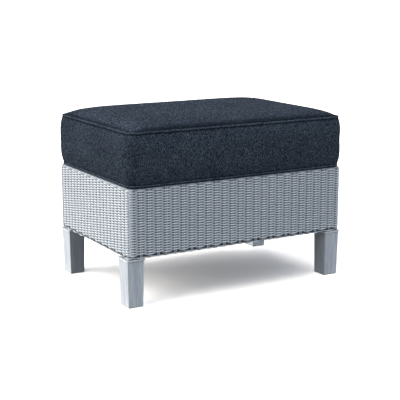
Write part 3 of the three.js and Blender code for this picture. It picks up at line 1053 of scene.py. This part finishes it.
def rearPoint(surface, x, z, proud):
    hit = surface.ray_cast(Vector((x, 1, z)), Vector((0, -1, 0)))[0]
    return hit + Vector((0, proud, 0))


def addStitches(surface):
    pitch = zipLook["stitchPitch"]
    half = zipLook["stitchLength"] / 2
    sunk = zipLook["stitchSunk"]
    proud = zipLook["stitchProud"]
    count = int(2 * zipHalf / pitch)
    paths = []
    for side in (-1, 1):
        z = zipMiddle + side * zipLook["stitchOffset"]
        for index in range(count):
            x = (index - (count - 1) / 2) * pitch
            places = ((x - half, sunk), (x - half / 2, proud), (x + half / 2, proud), (x + half, sunk))
            paths.append([rearPoint(surface, along, z, lift) for along, lift in places])
    return tubesAlong("zip_stitches", paths, threadSection, threadMaterial)


def addStripSeams(surface):
    steps = zipLook["seamSteps"]
    low = lowerWeltZ + weltRadius * zipLook["seamFromWelt"]
    high = upperWeltZ - weltRadius * zipLook["seamFromWelt"]
    heights = [low + (high - low) * step / steps for step in range(steps + 1)]
    paths = []
    for side in (-1, 1):
        x = side * (zipHalf + zipLook["seamWidth"])
        paths.append([rearPoint(surface, x, z, zipLook["seamSunk"]) for z in heights])
    return tubesAlong("zip_strip_seams", paths, seamSection, weltMaterial)


threadSection = sectionCurve(
    "thread_section", zipLook["stitchWidth"], zipLook["stitchWidth"], zipLook["stitchSides"],
)
seamSection = sectionCurve("seam_section", zipLook["seamWidth"], zipLook["seamWidth"], zipLook["seamSides"])
coverSurface = BVHTree.FromObject(cover, bpy.context.evaluated_depsgraph_get())
teeth = addTeeth()
tape = addTape()
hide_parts("zip_chain")
for piece, slot in (
    (teeth, "zip"),
    (tape, "zip"),
    (addStitches(coverSurface), "cover"),
    (addStripSeams(coverSurface), "cover"),
):
    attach(piece, "cushion")
print("zip made")


# Floor, world and lamps

stage = {
    "floorSize": 120,
    "floorColour": (0.5, 0.5, 0.5),
    "floorGain": (8.2, 7.65, 6.97),
    "worldColour": (0.84, 0.95, 1.14),
    "worldStrength": 0.10,
}
# the key comes from the rear left, the fill from the front right and the low lamp from the left
# these three leave the floor out, and the left and top lamps light it too
lamps = {
    "keyLamp": {
        "turn": (0, -61, -32),
        "angle": 24,
        "strength": 3.9,
        "colour": (1.05, 1.0, 0.94),
        "sparesFloor": True,
    },
    "fillLamp": {
        "turn": (54, 0, 32),
        "angle": 50,
        "strength": 1.52,
        "colour": (0.96, 1.0, 1.05),
        "sparesFloor": True,
    },
    "lowLamp": {
        "turn": (70, 0, -70),
        "angle": 30,
        "strength": 0.42,
        "colour": (1.0, 1.0, 1.0),
        "sparesFloor": True,
    },
    "leftLamp": {
        "turn": (0, -56, -5),
        "angle": 60,
        "strength": 0.5,
        "colour": (1.0, 1.0, 0.99),
        "sparesFloor": False,
    },
    "topLamp": {
        "turn": (0, 0, 0),
        "angle": 60,
        "strength": 0.3,
        "colour": (1.0, 1.0, 0.99),
        "sparesFloor": False,
    },
}


def backgroundRays(tree):
    # 1 for rays that see the background, straight on or through gloss or glass
    path = addNode(tree, "ShaderNodeLightPath")
    seen = mathNode(tree, "MAXIMUM", path.outputs["Is Camera Ray"], path.outputs["Is Glossy Ray"])
    return mathNode(tree, "MAXIMUM", seen, path.outputs["Is Transmission Ray"])


def mixByRay(tree, outputKind, others, background):
    chosen = addNode(tree, "ShaderNodeMixShader")
    out = addNode(tree, outputKind)
    link(tree, backgroundRays(tree), chosen.inputs[0])
    link(tree, others.outputs[0], chosen.inputs[1])
    link(tree, background.outputs[0], chosen.inputs[2])
    link(tree, chosen.outputs[0], out.inputs["Surface"])


def addFloor():
    builder = bmesh.new()
    bmesh.ops.create_grid(builder, x_segments=1, y_segments=1, size=stage["floorSize"] / 2)
    mesh = bpy.data.meshes.new("floor")
    builder.to_mesh(mesh)
    builder.free()
    material = bpy.data.materials.new("floor_paint")
    material.use_nodes = True
    tree = material.node_tree
    tree.nodes.clear()
    plain = addNode(tree, "ShaderNodeBsdfDiffuse", {"Color": (*stage["floorColour"], 1)})
    gain = addNode(tree, "ShaderNodeBsdfDiffuse", {"Color": (*stage["floorGain"], 1)})
    added = addNode(tree, "ShaderNodeAddShader")
    link(tree, plain.outputs[0], added.inputs[0])
    link(tree, gain.outputs[0], added.inputs[1])
    mixByRay(tree, "ShaderNodeOutputMaterial", plain, added)
    mesh.materials.append(material)
    item = bpy.data.objects.new("floor", mesh)
    scene.collection.objects.link(item)
    return item


def addWorld():
    world = bpy.data.worlds.new("studio")
    world.use_nodes = True
    scene.world = world
    tree = world.node_tree
    tree.nodes.clear()
    softValues = {"Color": (*stage["worldColour"], 1), "Strength": stage["worldStrength"]}
    soft = addNode(tree, "ShaderNodeBackground", softValues)
    white = addNode(tree, "ShaderNodeBackground", {"Color": (1, 1, 1, 1), "Strength": 1.0})
    mixByRay(tree, "ShaderNodeOutputWorld", soft, white)


def addLamps(floor):
    spared = bpy.data.collections.new("spared_floor")
    spared.objects.link(floor)
    spared.collection_objects[0].light_linking.link_state = "EXCLUDE"
    for name, lamp in lamps.items():
        data = bpy.data.lights.new(name, "SUN")
        data.energy = lamp["strength"]
        data.angle = math.radians(lamp["angle"])
        data.color = lamp["colour"]
        item = bpy.data.objects.new(name, data)
        item.rotation_euler = inRadians(lamp["turn"])
        scene.collection.objects.link(item)
        if lamp["sparesFloor"]:
            item.light_linking.receiver_collection = spared


floor = addFloor()
addWorld()
addLamps(floor)
scene.view_settings.view_transform = "Standard"
for item in (strandSection, stakeSection, bindingSection, weltSection, threadSection, seamSection):
    bpy.data.objects.remove(item)
print("stage made")
